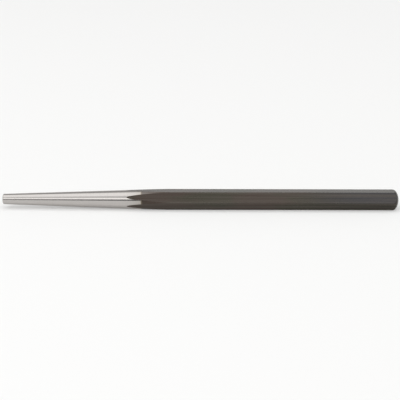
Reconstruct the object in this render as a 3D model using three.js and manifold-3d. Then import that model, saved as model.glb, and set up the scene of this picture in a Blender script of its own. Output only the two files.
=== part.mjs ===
// A long taper punch, the kind that lines up bolt holes and drives out pins. It is one bar of
// hexagonal tool steel, turned to a slim cone with a blunt flat tip at one end and to a crowned
// striking head at the other. Millimetres, +Z up. The punch lies on one of its flats along X,
// with the tip towards -X and the origin on the bench below the middle of its length.
import * as THREE from "three";
import { mergeVertices } from "three/addons/utils/BufferGeometryUtils.js";
import Module from "manifold-3d";

// Driving dimensions
const overallLength = 304.8; // tip face to the top of the crown
const acrossFlats = 14.29; // of the hexagon bar
const cornerRounding = 0.4; // radius along the bar's six corners
const taperLength = 127; // tip face to where the cone runs out on the corners
const tipDiameter = 7.94; // of the cone at the tip face, before the edge is broken
const tipEdgeBreak = 0.6; // 45 degree break round the tip face, measured along the bar
const crownDepth = 5.1; // of the crown, from its rim to its top
const turningClearance = 0.08; // from the bar's corners out to the crown's rim

// Fineness of the facets
const turnedFacets = 72; // round the cone and the crown
const crownRings = 10; // from the crown's rim to its top
const cornerFacets = 4; // round each corner of the bar

// Sizes that follow from the driving dimensions
const barSides = 6;
const halfSide = Math.PI / barSides; // half the angle that one flat spans about the axis
const apothem = acrossFlats / 2;
const cornerCentre = (apothem - cornerRounding) / Math.cos(halfSide);
const cornerReach = cornerCentre + cornerRounding; // axis to the outside of a corner
const tipRadius = tipDiameter / 2;
const coneSlope = (cornerReach - tipRadius) / taperLength;
const rimRadius = cornerReach + turningClearance;
const coneEnd = taperLength + turningClearance / coneSlope;
const sawnAllowance = crownDepth; // spare bar past each end, which the turning takes off

const wasm = await Module();
wasm.setup();

// A closed mesh as a solid that can be cut
function toSolid(geometry) {
  geometry.deleteAttribute("normal");
  geometry.deleteAttribute("uv");
  const merged = mergeVertices(geometry);
  return new wasm.Manifold(new wasm.Mesh({
    numProp: 3,
    vertProperties: merged.attributes.position.array,
    triVerts: Uint32Array.from(merged.index.array),
  }));
}

// A cut solid as a mesh again
function toGeometry(solid) {
  const { vertProperties, triVerts } = solid.getMesh();
  const geometry = new THREE.BufferGeometry();
  geometry.setAttribute("position", new THREE.BufferAttribute(vertProperties, 3));
  geometry.setIndex(new THREE.BufferAttribute(triVerts, 1));
  geometry.computeVertexNormals();
  return geometry;
}

// The drawn bar: a hexagon with rounded corners, sawn over length, with its axis on X. Two flats
// face up and down, and the corners between the other flats point along Y.
function hexagonBar() {
  const section = new THREE.Shape();
  for (let corner = 0; corner < barSides; corner += 1) {
    const angle = (2 * corner + 1) * halfSide;
    const x = cornerCentre * Math.cos(angle);
    const y = cornerCentre * Math.sin(angle);
    section.absarc(x, y, cornerRounding, angle - halfSide, angle + halfSide);
  }
  section.closePath();
  const bar = new THREE.ExtrudeGeometry(section, {
    depth: overallLength + 2 * sawnAllowance,
    curveSegments: cornerFacets / 2,
    bevelEnabled: false,
  });
  return bar.rotateY(Math.PI / 2).translate(-sawnAllowance, 0, 0);
}

// What the turning leaves: tip face, broken edge, cone, a stretch that clears the bar's corners,
// and the crown as a quarter of an ellipse. The tip face is at zero on X.
function turnedEnvelope() {
  const profile = new THREE.Path();
  profile.moveTo(0, 0);
  profile.lineTo(tipRadius - tipEdgeBreak, 0);
  profile.lineTo(tipRadius + coneSlope * tipEdgeBreak, tipEdgeBreak);
  profile.lineTo(rimRadius, coneEnd);
  profile.absellipse(0, overallLength - crownDepth, rimRadius, crownDepth, 0, Math.PI / 2);
  const outline = profile.getPoints(crownRings / 2);
  return new THREE.LatheGeometry(outline, turnedFacets).rotateZ(-Math.PI / 2);
}

const blackenedSteel = new THREE.MeshStandardMaterial({
  color: "#524e48",
  roughness: 0.45,
  metalness: 0.6,
});

// The punch: the part of the bar that lies inside the turned envelope, on the bench
const finished = toSolid(hexagonBar()).intersect(toSolid(turnedEnvelope()));
const taperPunch = new THREE.Mesh(toGeometry(finished), blackenedSteel);
taperPunch.name = "taper_punch";
taperPunch.position.set(-overallLength / 2, 0, apothem);

const punch = new THREE.Group();
punch.add(taperPunch);

export default punch;
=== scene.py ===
"""A long taper punch and the small studio that it is shown in.

The punch is one bar of hexagonal tool steel. Its whole skin was blackened, and its cone and tip were then
ground bright. It lies on one flat along X, with the tip towards -X, in metres, in the frame of the CAD part.
"""

import math

import bmesh
import bpy
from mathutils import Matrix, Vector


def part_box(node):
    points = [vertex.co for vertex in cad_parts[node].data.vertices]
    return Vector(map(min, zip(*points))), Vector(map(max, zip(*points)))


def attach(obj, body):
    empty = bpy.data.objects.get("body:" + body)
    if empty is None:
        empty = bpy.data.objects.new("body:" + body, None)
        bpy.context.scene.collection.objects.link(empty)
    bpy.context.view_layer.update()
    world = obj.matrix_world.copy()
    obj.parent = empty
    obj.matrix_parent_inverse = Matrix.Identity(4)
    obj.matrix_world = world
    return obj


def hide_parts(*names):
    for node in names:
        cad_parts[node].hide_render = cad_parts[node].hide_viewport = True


bl_info = {
    "name": "Long Taper Punch",
    "version": (1, 0, 0),
    "blender": (4, 5, 0),
    "location": "3D View > Sidebar > Punch",
    "description": "Models a line-up punch of hexagon bar with a ground taper, and a studio for it",
    "category": "Object",
}

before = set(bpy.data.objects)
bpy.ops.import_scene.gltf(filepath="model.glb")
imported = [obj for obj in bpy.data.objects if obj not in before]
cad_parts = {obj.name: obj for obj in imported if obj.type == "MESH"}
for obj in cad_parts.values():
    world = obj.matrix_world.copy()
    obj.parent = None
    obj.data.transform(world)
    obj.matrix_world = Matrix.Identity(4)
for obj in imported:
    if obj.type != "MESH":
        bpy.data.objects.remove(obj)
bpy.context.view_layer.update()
CAD_NODE = "taper_punch"
LOW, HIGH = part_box(CAD_NODE)
MM = 0.001

# Hexagon bar: half the angle that one flat spans about the axis
BAR_SIDES = 6
HALF_SIDE = math.pi / BAR_SIDES

# Fineness of the mesh
TURNED_FACETS = 192
CORNER_FACETS = 6
ROUND_PROFILE = 0.5
CROWN_RINGS = 24
RING_SPACING = 8 * MM
MERGE_DISTANCE = 0.0005 * MM

# Edges that bend more than this stay crisp, and large faces outweigh small ones in the smooth normals
CRISP_ANGLE = math.radians(30)
LARGE_FACE_WEIGHT = 100

# Film of the oil that sealed the oxide, as the shader's coat
OIL_FILM = {"Coat Weight": 0.2, "Coat Roughness": 0.2, "Coat IOR": 1.47}

# Nearly all the values of a noise lie between these two
NOISE_LOW, NOISE_HIGH = 0.3, 0.7

# Sockets of a colour Mix node, which gives its inputs the same names for every kind of data
MIX_FACTOR, MIX_A, MIX_B, MIX_RESULT = 0, 6, 7, 2


def linear(hex_colour):
    """An sRGB hex colour such as #524e48 as linear red, green, blue and alpha, by the standard's curve."""
    channels = [int(hex_colour[i:i + 2], 16) / 255 for i in (1, 3, 5)]
    bright = [c / 12.92 if c <= 0.04045 else ((c + 0.055) / 1.055) ** 2.4 for c in channels]
    return (*bright, 1.0)


class PunchSizes(bpy.types.PropertyGroup):
    """Sizes of the punch as it was drawn, turned and ground"""

    overall_length: bpy.props.FloatProperty(
        name="Overall Length",
        description="Tip face to the top of the crown",
        default=HIGH.x - LOW.x,
        unit="LENGTH",
    )
    across_flats: bpy.props.FloatProperty(
        name="Across Flats",
        description="Width of the hexagon bar between two opposite flats",
        default=HIGH.z - LOW.z,
        unit="LENGTH",
    )
    corner_reach: bpy.props.FloatProperty(
        name="Corner Reach",
        description="Axis of the bar to the outside of a rounded corner",
        default=HIGH.y,
        unit="LENGTH",
    )
    taper_length: bpy.props.FloatProperty(
        name="Taper Length",
        description="Tip face to where the cone runs out on the corners",
        default=127 * MM,
        unit="LENGTH",
    )
    tip_diameter: bpy.props.FloatProperty(
        name="Tip Diameter",
        description="Cone at the tip face, before the edge is broken",
        default=7.94 * MM,
        unit="LENGTH",
    )
    tip_edge_break: bpy.props.FloatProperty(
        name="Tip Edge Break",
        description="45 degree break round the tip face, along the bar",
        default=0.6 * MM,
        unit="LENGTH",
    )
    crown_depth: bpy.props.FloatProperty(
        name="Crown Depth",
        description="Rim of the crowned head to its top",
        default=5.1 * MM,
        unit="LENGTH",
    )
    turning_clearance: bpy.props.FloatProperty(
        name="Turning Clearance",
        description="Corners of the bar out to the rim of the crown",
        default=0.08 * MM,
        unit="LENGTH",
    )
    ground_length: bpy.props.FloatProperty(
        name="Ground Length",
        description="Tip face to where the bright grinding of the cone stops",
        default=106.4 * MM,
        unit="LENGTH",
    )


class PunchColours(bpy.types.PropertyGroup):
    """Colours of the punch's finishes"""

    oxide_brown: bpy.props.FloatVectorProperty(
        name="Brown Oxide",
        description="Blackened steel where the bath left it warm",
        default=linear("#4a403a"),
        size=4,
        subtype="COLOR",
    )
    oxide_olive: bpy.props.FloatVectorProperty(
        name="Olive Oxide",
        description="Blackened steel where the bath left a greener patch",
        default=linear("#413f35"),
        size=4,
        subtype="COLOR",
    )
    # Painted shade: this darker oxide stands in for the light that falls off towards the head.
    head_painted_shade: bpy.props.FloatVectorProperty(
        name="Dark Oxide",
        description="Blackened steel towards the head, where the film is thicker",
        default=linear("#3a3730"),
        size=4,
        subtype="COLOR",
    )
    oxide_blue: bpy.props.FloatVectorProperty(
        name="Blue Oxide",
        description="Blackened steel with a colder film, towards the head on one flat of the near side",
        default=linear("#434346"),
        size=4,
        subtype="COLOR",
    )
    rubbed_oxide: bpy.props.FloatVectorProperty(
        name="Rubbed Oxide",
        description="Blackened steel that handling has rubbed thin",
        default=linear("#605a54"),
        size=4,
        subtype="COLOR",
    )
    ground_steel: bpy.props.FloatVectorProperty(
        name="Ground Steel",
        description="Bare steel as the grinding wheel left it",
        default=linear("#c1bdba"),
        size=4,
        subtype="COLOR",
    )
    ground_shade: bpy.props.FloatVectorProperty(
        name="Ground Steel in the Marks",
        description="Bare steel in the deeper grinding marks",
        default=linear("#b7b3b0"),
        size=4,
        subtype="COLOR",
    )
    ground_rim: bpy.props.FloatVectorProperty(
        name="Ground Steel at the Rim",
        description="Tint of what bare steel reflects at a grazing angle",
        default=linear("#dad8d7"),
        size=4,
        subtype="COLOR",
    )
    smoked_steel: bpy.props.FloatVectorProperty(
        name="Smoked Steel",
        description="Brown film where the grinding thins out into the black",
        default=linear("#8e8474"),
        size=4,
        subtype="COLOR",
    )


class StageSettings(bpy.types.PropertyGroup):
    """Floor, lamps and camera of the studio"""

    floor_colour: bpy.props.FloatVectorProperty(
        name="Floor",
        description="Matt pale floor that the punch lies on",
        default=linear("#eaeae9"),
        size=4,
        subtype="COLOR",
    )
    floor_white: bpy.props.FloatProperty(
        name="Floor White",
        description="Share of plain white that the camera and reflections see in the floor",
        default=0.25,
        subtype="FACTOR",
    )
    floor_size: bpy.props.FloatProperty(
        name="Floor Size",
        description="Sides of the floor, which end out of sight",
        default=30.0,
        unit="LENGTH",
    )
    near_foot: bpy.props.FloatProperty(
        name="Near Foot",
        description="Brightness of the dark room behind the camera, low down, where 1 is white",
        default=0.15,
    )
    near_wall: bpy.props.FloatProperty(
        name="Near Wall",
        description="Brightness of the studio above the camera and overhead",
        default=0.92,
    )
    far_wall: bpy.props.FloatProperty(
        name="Far Wall",
        description="Brightness of the studio beyond the punch, high up",
        default=0.52,
    )
    far_foot: bpy.props.FloatProperty(
        name="Far Foot",
        description="Brightness of the backdrop beyond the punch, low down",
        default=1.0,
    )
    camera_elevation: bpy.props.FloatProperty(
        name="Camera Elevation",
        description="Angle of the camera above the horizon",
        default=math.radians(19),
        subtype="ANGLE",
    )
    camera_roll: bpy.props.FloatProperty(
        name="Camera Roll",
        description="Turn of the camera about its own line of sight",
        default=math.radians(0.13),
        subtype="ANGLE",
    )
    frame_offset: bpy.props.FloatVectorProperty(
        name="Frame Offset",
        description="Middle of the picture from the middle of the punch, to the right and up",
        default=(-0.54 * MM, -0.46 * MM),
        size=2,
        unit="LENGTH",
    )
    focal_length: bpy.props.FloatProperty(
        name="Focal Length",
        description="Lens on a sensor 36 mm wide",
        default=100.0,
        unit="CAMERA",
    )
    frame_width: bpy.props.FloatProperty(
        name="Frame Width",
        description="Width of the picture where the punch lies",
        default=308.6 * MM,
        unit="LENGTH",
    )


def add_node(tree, kind, inputs=None, **settings):
    """Adds a node, with its own settings and with values or other nodes' outputs at its inputs."""
    node = tree.nodes.new(kind)
    for name, value in settings.items():
        setattr(node, name, value)
    for socket, value in (inputs or {}).items():
        if isinstance(value, bpy.types.NodeSocket):
            tree.links.new(value, node.inputs[socket])
        else:
            node.inputs[socket].default_value = value
    return node


def new_material(name):
    """An empty node material."""
    material = bpy.data.materials.new(name)
    material.use_nodes = True
    material.node_tree.nodes.clear()
    return material


def bar_coordinates(tree, sizes):
    """Object coordinates about the bar's axis, the place along it and the distance from it."""
    place = add_node(tree, "ShaderNodeTexCoord").outputs["Object"]
    centred = add_node(tree, "ShaderNodeMapping", {
        "Vector": place,
        "Location": (0, 0, -sizes.across_flats / 2),
    }).outputs["Vector"]
    along = add_node(tree, "ShaderNodeSeparateXYZ", {"Vector": centred}).outputs["X"]
    across = add_node(tree, "ShaderNodeVectorMath", {0: centred, 1: (0, 1, 1)}, operation="MULTIPLY")
    radius = add_node(tree, "ShaderNodeVectorMath", {0: across.outputs["Vector"]}, operation="LENGTH")
    return centred, along, radius.outputs["Value"]


def turned_coordinates(tree, centred, radius, pitch, drift):
    """Coordinates that change along the bar and outwards once a pitch, and slowly round it."""
    split = add_node(tree, "ShaderNodeSeparateXYZ", {"Vector": centred})
    rings = add_node(tree, "ShaderNodeCombineXYZ", {
        "X": split.outputs["X"],
        "Y": radius,
        "Z": split.outputs["Z"],
    })
    return add_node(tree, "ShaderNodeMapping", {
        "Vector": rings.outputs["Vector"],
        "Scale": (1 / pitch, 1 / pitch, 1 / drift),
    }).outputs["Vector"]


def towards_side(tree, centred, angle, start, end, fade):
    """Mask that fades in from 0 to 1 as places reach out from the axis towards one side of the bar.

    The side's angle is from the top of the bar towards its near side, and the fade is a Map Range's kind.
    """
    reach = add_node(tree, "ShaderNodeVectorMath", {
        0: centred, 1: (0, -math.sin(angle), math.cos(angle)),
    }, operation="DOT_PRODUCT").outputs["Value"]
    return add_node(tree, "ShaderNodeMapRange", {
        "Value": reach, "From Min": start, "From Max": end,
    }, interpolation_type=fade).outputs["Result"]


def oxide_colour(tree, sizes, colours, centred, along):
    """Colour of the blackened skin, and the noise of its patches.

    It is brown in some patches and olive in others, darkened towards the head by painted shade, and blue
    there on one flat.
    """
    patch_length, patch_width = 38 * MM, 12 * MM
    pattern_shift = 18  # in lengths of a patch
    patches = add_node(tree, "ShaderNodeTexNoise", {
        "Vector": add_node(tree, "ShaderNodeMapping", {
            "Vector": centred,
            "Location": (pattern_shift, 0, 0),
            "Scale": (1 / patch_length, 1 / patch_width, 1 / patch_width),
        }).outputs["Vector"],
        "Scale": 1.0,
        "Detail": 4.0,
        "Roughness": 0.6,
    }).outputs["Fac"]
    brown_below, olive_above = 0.44, 0.58
    mottle = add_node(tree, "ShaderNodeMapRange", {
        "Value": patches, "From Min": brown_below, "From Max": olive_above,
    }).outputs["Result"]
    mottled = add_node(tree, "ShaderNodeMix", {
        MIX_FACTOR: mottle, MIX_A: colours.oxide_brown[:], MIX_B: colours.oxide_olive[:],
    }, data_type="RGBA").outputs[MIX_RESULT]
    # Painted shade: the oxide turns darker towards the head, where the light falls off.
    shade_from, deepest_shade_from = HIGH.x - 90 * MM, HIGH.x - 25 * MM
    head_end = add_node(tree, "ShaderNodeMapRange", {
        "Value": along, "From Min": shade_from, "From Max": deepest_shade_from,
    }, interpolation_type="SMOOTHSTEP").outputs["Result"]
    head_shaded = add_node(tree, "ShaderNodeMix", {
        MIX_FACTOR: head_end, MIX_A: mottled, MIX_B: colours.head_painted_shade[:],
    }, data_type="RGBA").outputs[MIX_RESULT]
    flat_angle, flat_reach = 2 * HALF_SIDE, sizes.across_flats / 2
    blue_from = 0.9 * flat_reach
    on_flat = towards_side(tree, centred, flat_angle, blue_from, flat_reach, fade="SMOOTHSTEP")
    blued = add_node(tree, "ShaderNodeMath", {0: head_end, 1: on_flat}, operation="MULTIPLY")
    tone = add_node(tree, "ShaderNodeMix", {
        MIX_FACTOR: blued.outputs["Value"], MIX_A: head_shaded, MIX_B: colours.oxide_blue[:],
    }, data_type="RGBA").outputs[MIX_RESULT]
    return tone, patches


def metal_surface(tree, colour, roughness, relief, depth, sockets):
    """Ends a material as metal, with a relief of the given depth and other sockets of the shader set."""
    bump = add_node(tree, "ShaderNodeBump", {"Height": relief, "Strength": 1.0, "Distance": depth})
    shader = add_node(tree, "ShaderNodeBsdfPrincipled", {
        "Base Color": colour,
        "Metallic": 1.0,
        "Roughness": roughness,
        "Normal": bump.outputs["Normal"],
        **sockets,
    })
    add_node(tree, "ShaderNodeOutputMaterial", {"Surface": shader.outputs["BSDF"]})


def drawn_black_oxide(sizes, colours):
    """Black oxide on cold-drawn bar.

    A hot bath turned the skin to magnetite and oil sealed it: a dark satin, a little brown and patchy,
    with faint lines along the bar from the drawing die and paler corners where hands and pouches rub.
    """
    material = new_material("Black oxide on drawn bar")
    tree = material.node_tree
    centred, along, radius = bar_coordinates(tree, sizes)
    tone, patches = oxide_colour(tree, sizes, colours, centred, along)
    # Real drawing lines are about 0.1 mm wide; they are drawn twelve times as coarse so that they show.
    line_width, line_length, line_depth = 1.2 * MM, 160 * MM, 0.006 * MM
    lines = add_node(tree, "ShaderNodeTexNoise", {
        "Vector": add_node(tree, "ShaderNodeMapping", {
            "Vector": centred,
            "Scale": (1 / line_length, 1 / line_width, 1 / line_width),
        }).outputs["Vector"],
        "Scale": 1.0,
        "Detail": 4.0,
        "Roughness": 0.6,
    }).outputs["Fac"]
    pale_from, palest_from, most_paling = 0.4, 0.7, 0.8
    pale_lines = add_node(tree, "ShaderNodeMapRange", {
        "Value": lines, "From Min": pale_from, "From Max": palest_from, "To Max": most_paling,
    }).outputs["Result"]
    streaked = add_node(tree, "ShaderNodeMix", {
        MIX_FACTOR: pale_lines, MIX_A: tone, MIX_B: colours.rubbed_oxide[:],
    }, data_type="RGBA").outputs[MIX_RESULT]
    rub_width, most_rubbing = 0.3 * MM, 0.5
    corner_band = add_node(tree, "ShaderNodeMapRange", {
        "Value": radius,
        "From Min": sizes.corner_reach - rub_width,
        "From Max": sizes.corner_reach,
        "To Max": most_rubbing,
    }).outputs["Result"]
    rubbed = add_node(tree, "ShaderNodeMath", {0: corner_band, 1: patches}, operation="MULTIPLY")
    colour = add_node(tree, "ShaderNodeMix", {
        MIX_FACTOR: rubbed.outputs["Value"], MIX_A: streaked, MIX_B: colours.rubbed_oxide[:],
    }, data_type="RGBA").outputs[MIX_RESULT]
    smoothest, roughest = 0.22, 0.29
    roughness = add_node(tree, "ShaderNodeMapRange", {
        "Value": patches,
        "From Min": NOISE_LOW,
        "From Max": NOISE_HIGH,
        "To Min": smoothest,
        "To Max": roughest,
    }).outputs["Result"]
    metal_surface(tree, colour, roughness, lines, line_depth, OIL_FILM)
    return material


def turned_black_oxide(sizes, colours):
    """Black oxide on turned steel.

    The crown and the end of the cone went into the same bath as turned: the same dark satin, with fine
    rings round the axis where the tool fed along.
    """
    material = new_material("Black oxide on turned steel")
    tree = material.node_tree
    centred, along, radius = bar_coordinates(tree, sizes)
    tone, patches = oxide_colour(tree, sizes, colours, centred, along)
    # The feed of a finishing cut is about 0.1 mm a turn; it is drawn four times as coarse so that it shows.
    feed, ring_drift, ring_depth = 0.4 * MM, 12 * MM, 0.008 * MM
    rings = add_node(tree, "ShaderNodeTexNoise", {
        "Vector": turned_coordinates(tree, centred, radius, feed, ring_drift),
        "Scale": 1.0,
        "Detail": 2.0,
    }).outputs["Fac"]
    pale_from, palest_from, most_paling = 0.5, 0.8, 0.3
    pale_rings = add_node(tree, "ShaderNodeMapRange", {
        "Value": rings, "From Min": pale_from, "From Max": palest_from, "To Max": most_paling,
    }).outputs["Result"]
    ringed = add_node(tree, "ShaderNodeMix", {
        MIX_FACTOR: pale_rings, MIX_A: tone, MIX_B: colours.rubbed_oxide[:],
    }, data_type="RGBA").outputs[MIX_RESULT]
    ground_end = LOW.x + sizes.ground_length
    # The bar ran a little out of true, so the wheel grazed it further along on one corner.
    graze_length, most_grazing = 17 * MM, 0.26
    graze_from, grazed_from = 0.7 * sizes.corner_reach, 0.85 * sizes.corner_reach
    on_corner = towards_side(tree, centred, HALF_SIDE, graze_from, grazed_from, fade="LINEAR")
    fading = add_node(tree, "ShaderNodeMapRange", {
        "Value": along,
        "From Min": ground_end,
        "From Max": ground_end + graze_length,
        "To Min": most_grazing,
        "To Max": 0.0,
    }).outputs["Result"]
    graze = add_node(tree, "ShaderNodeMath", {0: on_corner, 1: fading}, operation="MULTIPLY")
    grazed = add_node(tree, "ShaderNodeMix", {
        MIX_FACTOR: graze.outputs["Value"], MIX_A: ringed, MIX_B: colours.ground_shade[:],
    }, data_type="RGBA").outputs[MIX_RESULT]
    # The grinding feathers out into the black over about a millimetre, further in some rings than in others.
    feather = 0.9 * MM
    raggedness, overrun = 2 * feather, 0.3 * feather
    ragged = add_node(tree, "ShaderNodeMath", {
        0: rings, 1: -raggedness, 2: along,
    }, operation="MULTIPLY_ADD").outputs["Value"]
    bared = add_node(tree, "ShaderNodeMapRange", {
        "Value": ragged,
        "From Min": ground_end - feather,
        "From Max": ground_end + overrun,
        "To Min": 1.0,
        "To Max": 0.0,
    }).outputs["Result"]
    colour = add_node(tree, "ShaderNodeMix", {
        MIX_FACTOR: bared, MIX_A: grazed, MIX_B: colours.smoked_steel[:],
    }, data_type="RGBA").outputs[MIX_RESULT]
    smoothest, roughest = 0.26, 0.34
    roughness = add_node(tree, "ShaderNodeMapRange", {
        "Value": patches,
        "From Min": NOISE_LOW,
        "From Max": NOISE_HIGH,
        "To Min": smoothest,
        "To Max": roughest,
    }).outputs["Result"]
    metal_surface(tree, colour, roughness, rings, ring_depth, OIL_FILM)
    return material


def ground_tool_steel(sizes, colours):
    """Cylindrically ground tool steel.

    The wheel left bare bright metal with fine marks round the cone and rings on the tip face: clear bands
    of reflected light along the cone, smeared lengthwise, and a brown film in the last millimetres.
    """
    material = new_material("Ground tool steel")
    tree = material.node_tree
    centred, along, radius = bar_coordinates(tree, sizes)
    # Marks of a 60 grit wheel are about 0.1 mm apart; they are drawn five times as coarse so that they show.
    mark_pitch, mark_drift, mark_depth = 0.5 * MM, 6 * MM, 0.0002 * MM
    marks = add_node(tree, "ShaderNodeTexNoise", {
        "Vector": turned_coordinates(tree, centred, radius, mark_pitch, mark_drift),
        "Scale": 1.0,
        "Detail": 3.0,
        "Roughness": 0.6,
    }).outputs["Fac"]
    metal = add_node(tree, "ShaderNodeMix", {
        MIX_FACTOR: marks, MIX_A: colours.ground_steel[:], MIX_B: colours.ground_shade[:],
    }, data_type="RGBA").outputs[MIX_RESULT]
    # The film is faint over most of its length and gathers quickly at the end of the grinding.
    film_length, film_steepness, most_film = 30 * MM, 5.0, 0.35
    ground_end = LOW.x + sizes.ground_length
    nearness = add_node(tree, "ShaderNodeMapRange", {
        "Value": along, "From Min": ground_end - film_length, "From Max": ground_end,
    }).outputs["Result"]
    gathered = add_node(tree, "ShaderNodeMath", {0: nearness, 1: film_steepness}, operation="POWER")
    film = add_node(tree, "ShaderNodeMath", {
        0: gathered.outputs["Value"], 1: most_film,
    }, operation="MULTIPLY").outputs["Value"]
    colour = add_node(tree, "ShaderNodeMix", {
        MIX_FACTOR: film, MIX_A: metal, MIX_B: colours.smoked_steel[:],
    }, data_type="RGBA").outputs[MIX_RESULT]
    smoothest, roughest = 0.15, 0.19
    roughness = add_node(tree, "ShaderNodeMapRange", {
        "Value": marks,
        "From Min": NOISE_LOW,
        "From Max": NOISE_HIGH,
        "To Min": smoothest,
        "To Max": roughest,
    }).outputs["Result"]
    # The marks run round the axis, so the metal scatters light a quarter turn from them, along the bar.
    tangent = add_node(tree, "ShaderNodeTangent", direction_type="RADIAL", axis="X")
    metal_surface(tree, colour, roughness, marks, mark_depth, {
        "Specular Tint": colours.ground_rim[:],
        "Anisotropic": 0.7,
        "Anisotropic Rotation": 0.25,
        "Tangent": tangent.outputs["Tangent"],
    })
    return material


def select_parts(piece, kind, wanted):
    """Selects only those vertices, edges or faces of a piece in edit mode that are wanted."""
    bpy.ops.mesh.select_all(action="DESELECT")
    shape = bmesh.from_edit_mesh(piece.data)
    for part in getattr(shape, kind):
        if wanted(part):
            part.select_set(True)
    shape.select_flush_mode()
    bmesh.update_edit_mesh(piece.data)


def assign_material(piece, material, wanted):
    """Gives the wanted faces of a piece in edit mode a material, in a new slot."""
    bpy.ops.object.material_slot_add()
    piece.active_material = material
    select_parts(piece, "faces", wanted)
    bpy.ops.object.material_slot_assign()


def hexagon_bar(sizes, material):
    """The drawn bar, sawn over length, with rounded corners and one flat on the floor."""
    axis_height = sizes.across_flats / 2
    sharp_reach = axis_height / math.cos(HALF_SIDE)
    rounding = (sharp_reach - sizes.corner_reach) / (1 / math.cos(HALF_SIDE) - 1)
    bpy.ops.mesh.primitive_cylinder_add(
        vertices=BAR_SIDES,
        radius=sharp_reach,
        depth=sizes.overall_length + 2 * sizes.crown_depth,
        location=(0, 0, axis_height),
        rotation=(0, math.pi / 2, 0),
    )
    bar = bpy.context.object
    bpy.ops.object.transform_apply()
    bpy.ops.object.mode_set(mode="EDIT")
    # Only the edges that run along the bar are rounded.
    select_parts(bar, "edges", lambda edge: abs(edge.verts[0].co.x - edge.verts[1].co.x) > sharp_reach)
    bpy.ops.mesh.bevel(
        offset_type="OFFSET",
        offset=rounding * math.tan(HALF_SIDE),
        segments=CORNER_FACETS,
        profile=ROUND_PROFILE,
    )
    assign_material(bar, material, lambda face: True)
    bpy.ops.object.mode_set(mode="OBJECT")
    return bar


def turning_stations(sizes):
    """Distance from the tip face and radius of each ring of the turned envelope, after the tip face."""
    tip_radius = sizes.tip_diameter / 2
    slope = (sizes.corner_reach - tip_radius) / sizes.taper_length
    rim_radius = sizes.corner_reach + sizes.turning_clearance
    cone_end = sizes.taper_length + sizes.turning_clearance / slope
    crown_start = sizes.overall_length - sizes.crown_depth
    cone = []
    for start, end in ((sizes.tip_edge_break, sizes.ground_length), (sizes.ground_length, cone_end)):
        rings = math.ceil((end - start) / RING_SPACING)
        cone += [start + (end - start) * ring / rings for ring in range(rings)]
    cone.append(cone_end)
    stations = [(distance, tip_radius + slope * distance) for distance in cone]
    for ring in range(CROWN_RINGS):
        angle = math.pi / 2 * ring / CROWN_RINGS
        stations.append((crown_start + sizes.crown_depth * math.sin(angle), rim_radius * math.cos(angle)))
    return stations


def turned_envelope(sizes, ground, blackened):
    """What the turning leaves: tip face, broken edge, cone, clearance past the corners, and the crown."""
    axis_height = sizes.across_flats / 2
    radius = sizes.tip_diameter / 2 - sizes.tip_edge_break
    distance = 0.0
    bpy.ops.mesh.primitive_circle_add(
        vertices=TURNED_FACETS,
        radius=radius,
        fill_type="NGON",
        location=(LOW.x, 0, axis_height),
        rotation=(0, math.pi / 2, 0),
    )
    envelope = bpy.context.object
    bpy.ops.object.transform_apply()
    bpy.ops.object.mode_set(mode="EDIT")
    bpy.ops.mesh.select_all(action="SELECT")
    for next_distance, next_radius in turning_stations(sizes):
        step = next_distance - distance
        growth = next_radius / radius
        bpy.ops.mesh.extrude_region_move(TRANSFORM_OT_translate={"value": (step, 0, 0)})
        bpy.ops.transform.resize(
            value=(1, growth, growth),
            center_override=(LOW.x + next_distance, 0, axis_height),
        )
        distance, radius = next_distance, next_radius
    top = sizes.overall_length - distance
    bpy.ops.mesh.extrude_region_move(TRANSFORM_OT_translate={"value": (top, 0, 0)})
    bpy.ops.mesh.merge(type="CENTER")
    bpy.ops.mesh.select_all(action="SELECT")
    bpy.ops.mesh.normals_make_consistent(inside=False)
    ground_end = LOW.x + sizes.ground_length
    assign_material(envelope, blackened, lambda face: True)
    assign_material(envelope, ground, lambda face: face.calc_center_median().x < ground_end)
    bpy.ops.object.mode_set(mode="OBJECT")
    return envelope


def apply_modifier(piece, kind, **settings):
    """Adds a modifier to the active piece and applies it."""
    modifier = piece.modifiers.new(kind.title(), kind)
    for name, value in settings.items():
        setattr(modifier, name, value)
    bpy.ops.object.modifier_apply(modifier=modifier.name)


def make_only_active(piece):
    """Selects one piece and makes it active."""
    bpy.ops.object.select_all(action="DESELECT")
    piece.select_set(True)
    bpy.context.view_layer.objects.active = piece


def finish_edges(bar, drawn):
    """Closes the mesh, keeps the ends of the flats and the broken edge crisp, and smooths the rest."""
    bpy.ops.object.mode_set(mode="EDIT")
    bpy.ops.mesh.select_mode(type="EDGE")
    bpy.ops.mesh.select_all(action="SELECT")
    bpy.ops.mesh.remove_doubles(threshold=MERGE_DISTANCE)
    bpy.ops.mesh.normals_make_consistent(inside=False)
    bpy.ops.mesh.select_all(action="DESELECT")
    bpy.ops.mesh.edges_select_sharp(sharpness=CRISP_ANGLE)
    bpy.ops.mesh.mark_sharp()
    bpy.ops.mesh.select_mode(type="FACE")
    slot = bar.data.materials.find(drawn.name)
    select_parts(bar, "faces", lambda face: face.material_index == slot)
    bpy.ops.mesh.region_to_loop()
    bpy.ops.mesh.mark_sharp()
    bpy.ops.object.mode_set(mode="OBJECT")
    bpy.ops.object.shade_smooth()
    apply_modifier(bar, "WEIGHTED_NORMAL", keep_sharp=True, weight=LARGE_FACE_WEIGHT)


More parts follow.
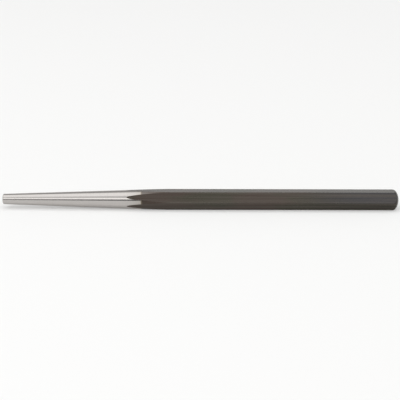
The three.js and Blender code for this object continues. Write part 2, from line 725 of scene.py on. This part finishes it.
class PUNCH_OT_make_punch(bpy.types.Operator):
    """Cut the punch from hexagon bar by turning, and give it its black and ground finishes"""

    bl_idname = "punch.make_punch"
    bl_label = "Make Punch"

    def execute(self, context):
        sizes = context.scene.punch_sizes
        colours = context.scene.punch_colours
        drawn = drawn_black_oxide(sizes, colours)
        turned = turned_black_oxide(sizes, colours)
        ground = ground_tool_steel(sizes, colours)
        bpy.ops.object.select_all(action="DESELECT")
        bar = hexagon_bar(sizes, drawn)
        envelope = turned_envelope(sizes, ground, turned)
        make_only_active(bar)
        apply_modifier(
            bar, "BOOLEAN", operation="INTERSECT", solver="EXACT", material_mode="TRANSFER", object=envelope
        )
        if not bar.data.polygons:
            raise RuntimeError("the turning left nothing of the bar")
        bpy.data.objects.remove(envelope)
        finish_edges(bar, drawn)
        bar.name = bar.data.name = "line_up_punch"
        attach(bar, "root")
        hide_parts(CAD_NODE)
        return {"FINISHED"}


def matt_white_paper(stage):
    """Matt white paper: it scatters light evenly, with no gloss, and takes a soft shadow.

    A share of plain white, which only the camera and reflections see, keeps it white to its edges.
    """
    material = new_material("Matt white paper")
    tree = material.node_tree
    paper = add_node(tree, "ShaderNodeBsdfDiffuse", {"Color": stage.floor_colour[:]})
    white = add_node(tree, "ShaderNodeEmission", {"Color": (1, 1, 1, 1), "Strength": 1.0})
    rays = add_node(tree, "ShaderNodeLightPath").outputs
    mirrored = add_node(tree, "ShaderNodeMath", {
        0: rays["Is Glossy Ray"], 1: rays["Is Transmission Ray"],
    }, operation="MAXIMUM").outputs["Value"]
    seen = add_node(tree, "ShaderNodeMath", {
        0: rays["Is Camera Ray"], 1: mirrored,
    }, operation="MAXIMUM").outputs["Value"]
    share = add_node(tree, "ShaderNodeMath", {0: seen, 1: stage.floor_white}, operation="MULTIPLY")
    surface = add_node(tree, "ShaderNodeMixShader", {
        "Fac": share.outputs["Value"], 1: paper.outputs["BSDF"], 2: white.outputs["Emission"],
    })
    add_node(tree, "ShaderNodeOutputMaterial", {"Surface": surface.outputs["Shader"]})
    return material


def softbox(name, angle, turn, distance, width, length, brightness):
    """A soft lamp that faces the punch, with a brightness on its face where 1 is white.

    Its angle is in degrees from overhead towards the far side of the floor, and its turn is in degrees round
    the upright, as seen from above.
    """
    lean, heading = math.radians(angle), math.radians(turn)
    reach = distance * math.sin(lean)
    bpy.ops.object.light_add(
        type="AREA",
        location=(-reach * math.sin(heading), reach * math.cos(heading), distance * math.cos(lean)),
        rotation=(-lean, 0, heading),
    )
    lamp = bpy.context.object
    lamp.name = lamp.data.name = name
    lamp.data.shape = "RECTANGLE"
    lamp.data.size = length
    lamp.data.size_y = width
    lamp.data.energy = brightness * math.pi * width * length


class PUNCH_OT_set_stage(bpy.types.Operator):
    """Lay a pale floor, hang soft lamps and set the camera on the near side"""

    bl_idname = "punch.set_stage"
    bl_label = "Set Stage"

    def execute(self, context):
        stage = context.scene.punch_stage
        bpy.ops.object.select_all(action="DESELECT")
        bpy.ops.mesh.primitive_plane_add(size=stage.floor_size)
        floor = context.object
        floor.name = "studio_floor"
        floor.data.materials.append(matt_white_paper(stage))
        self.light_room(context.scene, stage)
        softbox("overhead_softbox", angle=-4, turn=0, distance=5, width=4.7, length=10, brightness=0.56)
        softbox("front_softbox", angle=-64.5, turn=0, distance=5, width=1.15, length=10, brightness=0.92)
        softbox("side_softbox", angle=-62, turn=-50, distance=2.4, width=1.1, length=1.1, brightness=3.6)
        self.set_camera(context, stage)
        context.scene.view_settings.view_transform = "Standard"
        return {"FINISHED"}

    def light_room(self, scene, stage):
        """World light: a dark room low behind the camera, pale walls and a white backdrop, alike along X."""
        scene.world = bpy.data.worlds.new("Studio room")
        scene.world.use_nodes = True
        tree = scene.world.node_tree
        tree.nodes.clear()
        direction = add_node(tree, "ShaderNodeTexCoord").outputs["Generated"]
        across = add_node(tree, "ShaderNodeSeparateXYZ", {"Vector": direction}).outputs
        angle = add_node(tree, "ShaderNodeMath", {0: across["Y"], 1: across["Z"]}, operation="ARCTAN2")
        # Degrees from overhead towards the far side, between which one brightness fades into the next
        fades = (
            (-78, -73, stage.near_wall),
            (22, 32, stage.far_wall),
            (62, 72, stage.far_foot),
        )
        brightness = stage.near_foot
        for start, end, next_brightness in fades:
            brightness = add_node(tree, "ShaderNodeMapRange", {
                "Value": angle.outputs["Value"],
                "From Min": math.radians(start),
                "From Max": math.radians(end),
                "To Min": brightness,
                "To Max": next_brightness,
            }, interpolation_type="SMOOTHSTEP").outputs["Result"]
        light = add_node(tree, "ShaderNodeBackground", {"Color": (1, 1, 1, 1), "Strength": brightness})
        add_node(tree, "ShaderNodeOutputWorld", {"Surface": light.outputs["Background"]})

    def set_camera(self, context, stage):
        """A camera on the near side, a little above the punch, that frames the whole length."""
        axis_height = (LOW.z + HIGH.z) / 2
        data = bpy.data.cameras.new("camera")
        data.lens = stage.focal_length
        distance = stage.frame_width * stage.focal_length / data.sensor_width
        right, up = stage.frame_offset
        rise, reach = math.sin(stage.camera_elevation), math.cos(stage.camera_elevation)
        bpy.ops.object.camera_add(
            location=(right, up * rise - distance * reach, axis_height + up * reach + distance * rise),
            rotation=(math.pi / 2 - stage.camera_elevation, 0, 0),
        )
        camera = context.object
        camera.data = data
        camera.rotation_euler.rotate_axis("Z", stage.camera_roll)
        context.scene.camera = camera


class PUNCH_PT_sidebar(bpy.types.Panel):
    """The punch's sizes, colours and stage"""

    bl_idname = "PUNCH_PT_sidebar"
    bl_label = "Long Taper Punch"
    bl_space_type = "VIEW_3D"
    bl_region_type = "UI"
    bl_category = "Punch"

    def draw(self, context):
        scene = context.scene
        for group, operator in (
            (scene.punch_sizes, PUNCH_OT_make_punch),
            (scene.punch_colours, None),
            (scene.punch_stage, PUNCH_OT_set_stage),
        ):
            box = self.layout.box()
            for name in group.bl_rna.properties.keys():
                if name not in {"rna_type", "name"}:
                    box.prop(group, name)
            if operator:
                box.operator(operator.bl_idname)


CLASSES = (
    PunchSizes,
    PunchColours,
    StageSettings,
    PUNCH_OT_make_punch,
    PUNCH_OT_set_stage,
    PUNCH_PT_sidebar,
)


def register():
    for cls in CLASSES:
        bpy.utils.register_class(cls)
    bpy.types.Scene.punch_sizes = bpy.props.PointerProperty(type=PunchSizes)
    bpy.types.Scene.punch_colours = bpy.props.PointerProperty(type=PunchColours)
    bpy.types.Scene.punch_stage = bpy.props.PointerProperty(type=StageSettings)


def unregister():
    del bpy.types.Scene.punch_sizes
    del bpy.types.Scene.punch_colours
    del bpy.types.Scene.punch_stage
    for cls in reversed(CLASSES):
        bpy.utils.unregister_class(cls)


def main():
    register()
    bpy.ops.punch.make_punch()
    bpy.ops.punch.set_stage()


if __name__ == "__main__":
    main()
